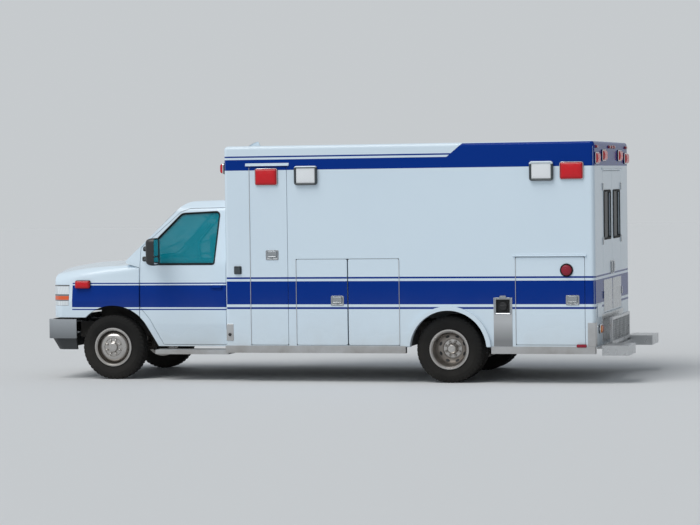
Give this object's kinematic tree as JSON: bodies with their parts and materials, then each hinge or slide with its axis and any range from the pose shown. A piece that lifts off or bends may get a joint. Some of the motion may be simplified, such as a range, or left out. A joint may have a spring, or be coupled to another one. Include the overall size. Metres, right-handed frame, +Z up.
{
  "type": "box-body ambulance",
  "caption": "White ambulance with a square box body behind a van-type cab, twin rear wheels, side lockers and doors that open.",
  "frame": {"origin": "on the ground, midway along the vehicle's length and width", "axes": "+X towards the front of the vehicle, +Y to its left, +Z up"},
  "size_m": [6.84, 2.6, 2.66],
  "materials": {
    "white_paint": "gloss",
    "black_steel": "satin",
    "cast_iron": "rough",
    "brushed_steel": "brushed",
    "chrome": "polished",
    "aluminium": "satin",
    "tinted_glass": "polished",
    "clear_lamp": "polished",
    "red_lamp": "polished",
    "tyre": "matte",
    "black_plastic": "matte",
    "grey_plastic": "matte",
    "cabinet_white": "satin",
    "seat_fabric": "woven"
  },
  "bodies": {
    "chassis": {"frame_rails": "black_steel", "front_axle": "cast_iron", "rear_axle": "cast_iron", "engine_block": "cast_iron", "fuel_tank": "black_steel", "exhaust_pipe": "brushed_steel", "cab_shell": "white_paint", "cab_floor": "grey_plastic", "front_wings": "white_paint", "windscreen": "tinted_glass", "grille": "chrome", "headlamps": "clear_lamp", "front_bumper": "chrome", "dashboard": "grey_plastic", "cab_seats": "seat_fabric", "module_side_walls": "white_paint", "module_end_walls": "white_paint", "module_roof": "white_paint", "module_floor": "grey_plastic", "module_cabinets": "cabinet_white", "warning_lights": "red_lamp", "scene_lights": "clear_lamp", "tail_lights": "red_lamp", "skirt_trim": "aluminium", "wheel_flares": "white_paint", "rear_bumper": "aluminium", "fuel_filler": "brushed_steel"},
    "hood": {"hood": "white_paint"},
    "cab_door_left": {"cab_door_left": "white_paint", "cab_door_glass_left": "tinted_glass", "mirror_left": "black_plastic"},
    "cab_door_right": {"cab_door_right": "white_paint", "cab_door_glass_right": "tinted_glass", "mirror_right": "black_plastic"},
    "rear_door_left": {"rear_door_left": "white_paint", "rear_door_glass_left": "tinted_glass"},
    "rear_door_right": {"rear_door_right": "white_paint", "rear_door_glass_right": "tinted_glass"},
    "entry_door": {"entry_door": "white_paint", "entry_glass": "tinted_glass"},
    "tall_door": {"tall_door": "white_paint", "tall_door_light": "red_lamp"},
    "locker_door_front": {"locker_door_front": "white_paint"},
    "locker_door_rear": {"locker_door_rear": "white_paint"},
    "rear_locker_door_left": {"rear_locker_door_left": "white_paint"},
    "rear_locker_door_right": {"rear_locker_door_right": "white_paint"},
    "flip_step": {"flip_step": "aluminium"},
    "knuckle_left": {"knuckle_left": "cast_iron"},
    "knuckle_right": {"knuckle_right": "cast_iron"},
    "front_wheel_left": {"tyre_front_left": "tyre", "wheel_front_left": "brushed_steel"},
    "front_wheel_right": {"tyre_front_right": "tyre", "wheel_front_right": "brushed_steel"},
    "rear_wheels_left": {"tyres_rear_left": "tyre", "wheels_rear_left": "brushed_steel"},
    "rear_wheels_right": {"tyres_rear_right": "tyre", "wheels_rear_right": "brushed_steel"}
  },
  "joints": [
    {"name": "steer_left", "type": "hinge", "parent": "chassis", "child": "knuckle_left", "pos_m": [2.59, 0.745, 0.372], "axis": [0, 0, 1], "range_deg": [-30, 30]},
    {"name": "steer_right", "type": "hinge", "parent": "chassis", "child": "knuckle_right", "pos_m": [2.59, -0.745, 0.372], "axis": [0, 0, 1], "range_deg": [-30, 30]},
    {"name": "front_spin_left", "type": "hinge", "parent": "knuckle_left", "child": "front_wheel_left", "pos_m": [2.59, 0.881, 0.372], "axis": [0, 1, 0], "continuous": true},
    {"name": "front_spin_right", "type": "hinge", "parent": "knuckle_right", "child": "front_wheel_right", "pos_m": [2.59, -0.881, 0.372], "axis": [0, 1, 0], "continuous": true},
    {"name": "rear_spin_left", "type": "hinge", "parent": "chassis", "child": "rear_wheels_left", "pos_m": [-1.423, 0.955, 0.372], "axis": [0, 1, 0], "continuous": true},
    {"name": "rear_spin_right", "type": "hinge", "parent": "chassis", "child": "rear_wheels_right", "pos_m": [-1.423, -0.955, 0.372], "axis": [0, 1, 0], "continuous": true},
    {"name": "cab_door_left_hinge", "type": "hinge", "parent": "chassis", "child": "cab_door_left", "pos_m": [2.255, 0.998, 0.9], "axis": [0, 0, -1], "range_deg": [0, 65]},
    {"name": "cab_door_right_hinge", "type": "hinge", "parent": "chassis", "child": "cab_door_right", "pos_m": [2.255, -0.998, 0.9], "axis": [0, 0, 1], "range_deg": [0, 65]},
    {"name": "hood_hinge", "type": "hinge", "parent": "chassis", "child": "hood", "pos_m": [2.6, 0, 1.36], "axis": [0, -1, 0], "range_deg": [0, 50]},
    {"name": "rear_door_left_hinge", "type": "hinge", "parent": "chassis", "child": "rear_door_left", "pos_m": [-3.075, 0.64, 1.5], "axis": [0, 0, -1], "range_deg": [0, 150]},
    {"name": "rear_door_right_hinge", "type": "hinge", "parent": "chassis", "child": "rear_door_right", "pos_m": [-3.075, -0.64, 1.5], "axis": [0, 0, 1], "range_deg": [0, 150]},
    {"name": "entry_door_hinge", "type": "hinge", "parent": "chassis", "child": "entry_door", "pos_m": [0.4, -1.215, 1.4], "axis": [0, 0, 1], "range_deg": [0, 100]},
    {"name": "tall_door_hinge", "type": "hinge", "parent": "chassis", "child": "tall_door", "pos_m": [0.858, 1.215, 1.4], "axis": [0, 0, -1], "range_deg": [0, 100]},
    {"name": "locker_front_hinge", "type": "hinge", "parent": "chassis", "child": "locker_door_front", "pos_m": [0.323, 1.215, 0.9], "axis": [0, 0, -1], "range_deg": [0, 95]},
    {"name": "locker_rear_hinge", "type": "hinge", "parent": "chassis", "child": "locker_door_rear", "pos_m": [-0.87, 1.215, 0.9], "axis": [0, 0, 1], "range_deg": [0, 95]},
    {"name": "rear_locker_left_hinge", "type": "hinge", "parent": "chassis", "child": "rear_locker_door_left", "pos_m": [-2.18, 1.215, 0.9], "axis": [0, 0, -1], "range_deg": [0, 100]},
    {"name": "rear_locker_right_hinge", "type": "hinge", "parent": "chassis", "child": "rear_locker_door_right", "pos_m": [-2.18, -1.215, 1.1], "axis": [0, 0, 1], "range_deg": [0, 100]},
    {"name": "step_hinge", "type": "hinge", "parent": "chassis", "child": "flip_step", "pos_m": [-3.14, 0, 0.412], "axis": [0, -1, 0], "range_deg": [0, 90]}
  ],
  "couplings": [
    {"joint": "steer_right", "follows": "steer_left", "ratio": 1}
  ]
}
